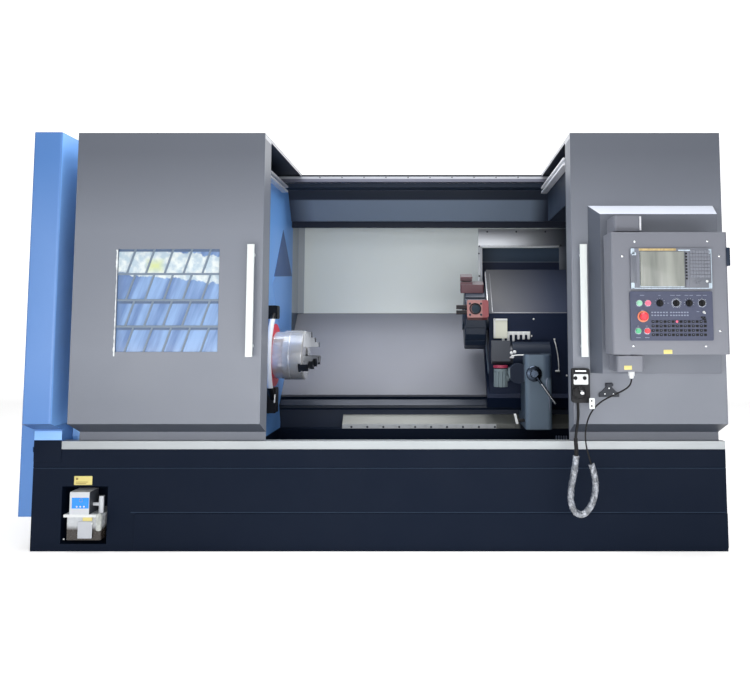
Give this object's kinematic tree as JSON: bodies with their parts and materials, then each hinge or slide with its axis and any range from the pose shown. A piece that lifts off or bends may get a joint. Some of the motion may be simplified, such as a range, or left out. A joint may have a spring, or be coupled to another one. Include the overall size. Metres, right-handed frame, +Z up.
{
  "type": "cnc turning lathe",
  "caption": "Slant-bed turning machine with sliding front doors, chuck, tool turret, tailstock and a swivelling control box with a corded hand pendant.",
  "frame": {"origin": "on the floor under the working space, on the base's flat underside", "axes": "+X along the spindle from chuck to tailstock, +Y from operator to back, +Z up"},
  "size_m": [3.793, 2.329, 2.238],
  "materials": {
    "navy_paint": "textured",
    "grey_paint": "satin",
    "dark_grey_paint": "satin",
    "blue_paint": "satin",
    "light_grey_paint": "satin",
    "stainless": "brushed",
    "steel": "ground",
    "black_steel": "satin",
    "red_paint": "satin",
    "cast": "painted",
    "glass": "clear",
    "black_plastic": "matte",
    "grey_plastic": "matte",
    "white_plastic": "matte",
    "oil_tank_plastic": "translucent",
    "green_plastic": "gloss",
    "red_plastic": "gloss",
    "cord_rubber": "matte"
  },
  "bodies": {
    "machine": {"base": "navy_paint", "front_rail": "stainless", "bed": "cast", "guide_ways": "steel", "slant_cover": "light_grey_paint", "headstock": "red_paint", "headstock_wall": "blue_paint", "left_end_casing": "blue_paint", "motor_cover": "blue_paint", "left_front_panel": "blue_paint", "right_enclosure": "dark_grey_paint", "rear_enclosure": "dark_grey_paint", "header_beam": "dark_grey_paint", "top_rail": "stainless", "chuck_guard": "black_steel", "lube_tank": "oil_tank_plastic", "lube_pump": "grey_plastic"},
    "left_door": {"left_door_shell": "grey_paint", "window_grille": "stainless", "window_pane": "glass", "left_door_handle": "stainless"},
    "right_door": {"right_door_shell": "grey_paint", "right_door_handle": "stainless", "control_carrier": "dark_grey_paint", "swivel_arms": "dark_grey_paint", "hand_pendant": "black_plastic", "pendant_hook": "black_steel", "cord_gland": "white_plastic", "cord_upper": "cord_rubber", "cord_sleeve": "cord_rubber", "cord_lower": "cord_rubber"},
    "control_head": {"control_box": "grey_paint", "display_unit": "black_plastic", "operator_panel": "black_plastic"},
    "spindle": {"spindle": "steel", "chuck_body": "steel"},
    "carriage": {"saddle": "cast", "sliding_curtain": "light_grey_paint"},
    "cross_slide": {"cross_slide": "dark_grey_paint"},
    "turret": {"turret_disc": "cast", "boring_holder": "red_paint", "turning_holder": "red_paint"},
    "tailstock": {"tailstock_body": "cast"},
    "quill": {"quill": "steel"},
    "clamp_lever": {"clamp_lever": "steel"},
    "pendant_wheel": {"pendant_wheel": "black_plastic"},
    "axis_dial": {"axis_dial": "black_plastic"},
    "step_dial": {"step_dial": "black_plastic"},
    "chuck_jaw_1": {"chuck_jaw_1": "steel"},
    "chuck_jaw_2": {"chuck_jaw_2": "steel"},
    "chuck_jaw_3": {"chuck_jaw_3": "steel"},
    "power_on_button": {"power_on_button": "green_plastic"},
    "power_off_button": {"power_off_button": "red_plastic"},
    "cycle_start_button": {"cycle_start_button": "green_plastic"},
    "feed_hold_button": {"feed_hold_button": "red_plastic"},
    "mode_knob": {"mode_knob": "black_plastic"},
    "feed_knob": {"feed_knob": "black_plastic"},
    "spindle_knob": {"spindle_knob": "black_plastic"},
    "key_switch": {"key_switch": "black_plastic"},
    "stop_button": {"stop_button": "red_plastic"}
  },
  "joints": [
    {"name": "left_door_slide", "type": "slide", "parent": "machine", "child": "left_door", "axis": [1, 0, 0], "range_m": [0, 0.8835]},
    {"name": "right_door_slide", "type": "slide", "parent": "machine", "child": "right_door", "axis": [-1, 0, 0], "range_m": [0, 0.7575]},
    {"name": "control_head_swivel", "type": "hinge", "parent": "right_door", "child": "control_head", "pos_m": [1.262, -1.02, 1.35], "axis": [0, 0, -1], "range_deg": [0, 75]},
    {"name": "spindle_spin", "type": "hinge", "parent": "machine", "child": "spindle", "pos_m": [-0.7, 0.065, 1.01], "axis": [1, 0, 0], "continuous": true},
    {"name": "carriage_slide", "type": "slide", "parent": "machine", "child": "carriage", "axis": [1, 0, 0], "range_m": [-0.75, 0.1]},
    {"name": "cross_slide_feed", "type": "slide", "parent": "carriage", "child": "cross_slide", "axis": [0, 0.7071, 0.7071], "range_m": [-0.06, 0.2]},
    {"name": "turret_index", "type": "hinge", "parent": "cross_slide", "child": "turret", "pos_m": [0.56, 0.29693, 1.24193], "axis": [1, 0, 0], "continuous": true},
    {"name": "tailstock_slide", "type": "slide", "parent": "machine", "child": "tailstock", "axis": [1, 0, 0], "range_m": [-0.6, 0.15]},
    {"name": "quill_feed", "type": "slide", "parent": "tailstock", "child": "quill", "axis": [-1, 0, 0], "range_m": [0, 0.1]},
    {"name": "clamp_lever_turn", "type": "hinge", "parent": "tailstock", "child": "clamp_lever", "pos_m": [0.908, -0.13, 0.902], "axis": [0, 1, 0], "range_deg": [-45, 30]},
    {"name": "pendant_wheel_turn", "type": "hinge", "parent": "right_door", "child": "pendant_wheel", "pos_m": [1.048, -0.87, 0.85], "axis": [0, 1, 0], "continuous": true},
    {"name": "axis_dial_turn", "type": "hinge", "parent": "right_door", "child": "axis_dial", "pos_m": [1.028, -0.87, 0.925], "axis": [0, 1, 0], "range_deg": [-100, 100]},
    {"name": "step_dial_turn", "type": "hinge", "parent": "right_door", "child": "step_dial", "pos_m": [1.076, -0.87, 0.925], "axis": [0, 1, 0], "range_deg": [-60, 60]},
    {"name": "jaw_1_slide", "type": "slide", "parent": "spindle", "child": "chuck_jaw_1", "axis": [0, 0, 1], "range_m": [-0.005, 0.005]},
    {"name": "jaw_2_slide", "type": "slide", "parent": "spindle", "child": "chuck_jaw_2", "axis": [0, -0.866, -0.5], "range_m": [-0.005, 0.005]},
    {"name": "jaw_3_slide", "type": "slide", "parent": "spindle", "child": "chuck_jaw_3", "axis": [0, 0.866, -0.5], "range_m": [-0.005, 0.005]},
    {"name": "power_on_push", "type": "slide", "parent": "control_head", "child": "power_on_button", "axis": [0, 1, 0], "range_m": [0, 0.004], "stiffness_N_per_m": 400},
    {"name": "power_off_push", "type": "slide", "parent": "control_head", "child": "power_off_button", "axis": [0, 1, 0], "range_m": [0, 0.004], "stiffness_N_per_m": 400},
    {"name": "cycle_start_push", "type": "slide", "parent": "control_head", "child": "cycle_start_button", "axis": [0, 1, 0], "range_m": [0, 0.004], "stiffness_N_per_m": 400},
    {"name": "feed_hold_push", "type": "slide", "parent": "control_head", "child": "feed_hold_button", "axis": [0, 1, 0], "range_m": [0, 0.004], "stiffness_N_per_m": 400},
    {"name": "stop_push", "type": "slide", "parent": "control_head", "child": "stop_button", "axis": [0, 1, 0], "range_m": [0, 0.004], "stiffness_N_per_m": 400},
    {"name": "mode_knob_turn", "type": "hinge", "parent": "control_head", "child": "mode_knob", "pos_m": [1.394, -1.149, 1.306], "axis": [0, 1, 0], "range_deg": [-120, 120]},
    {"name": "feed_knob_turn", "type": "hinge", "parent": "control_head", "child": "feed_knob", "pos_m": [1.474, -1.149, 1.306], "axis": [0, 1, 0], "range_deg": [-135, 135]},
    {"name": "spindle_knob_turn", "type": "hinge", "parent": "control_head", "child": "spindle_knob", "pos_m": [1.537, -1.149, 1.306], "axis": [0, 1, 0], "range_deg": [-120, 120]},
    {"name": "key_switch_turn", "type": "hinge", "parent": "control_head", "child": "key_switch", "pos_m": [1.6, -1.149, 1.306], "axis": [0, 1, 0], "range_deg": [0, 60]}
  ],
  "couplings": [
    {"joint": "jaw_2_slide", "follows": "jaw_1_slide", "ratio": 1},
    {"joint": "jaw_3_slide", "follows": "jaw_1_slide", "ratio": 1}
  ]
}
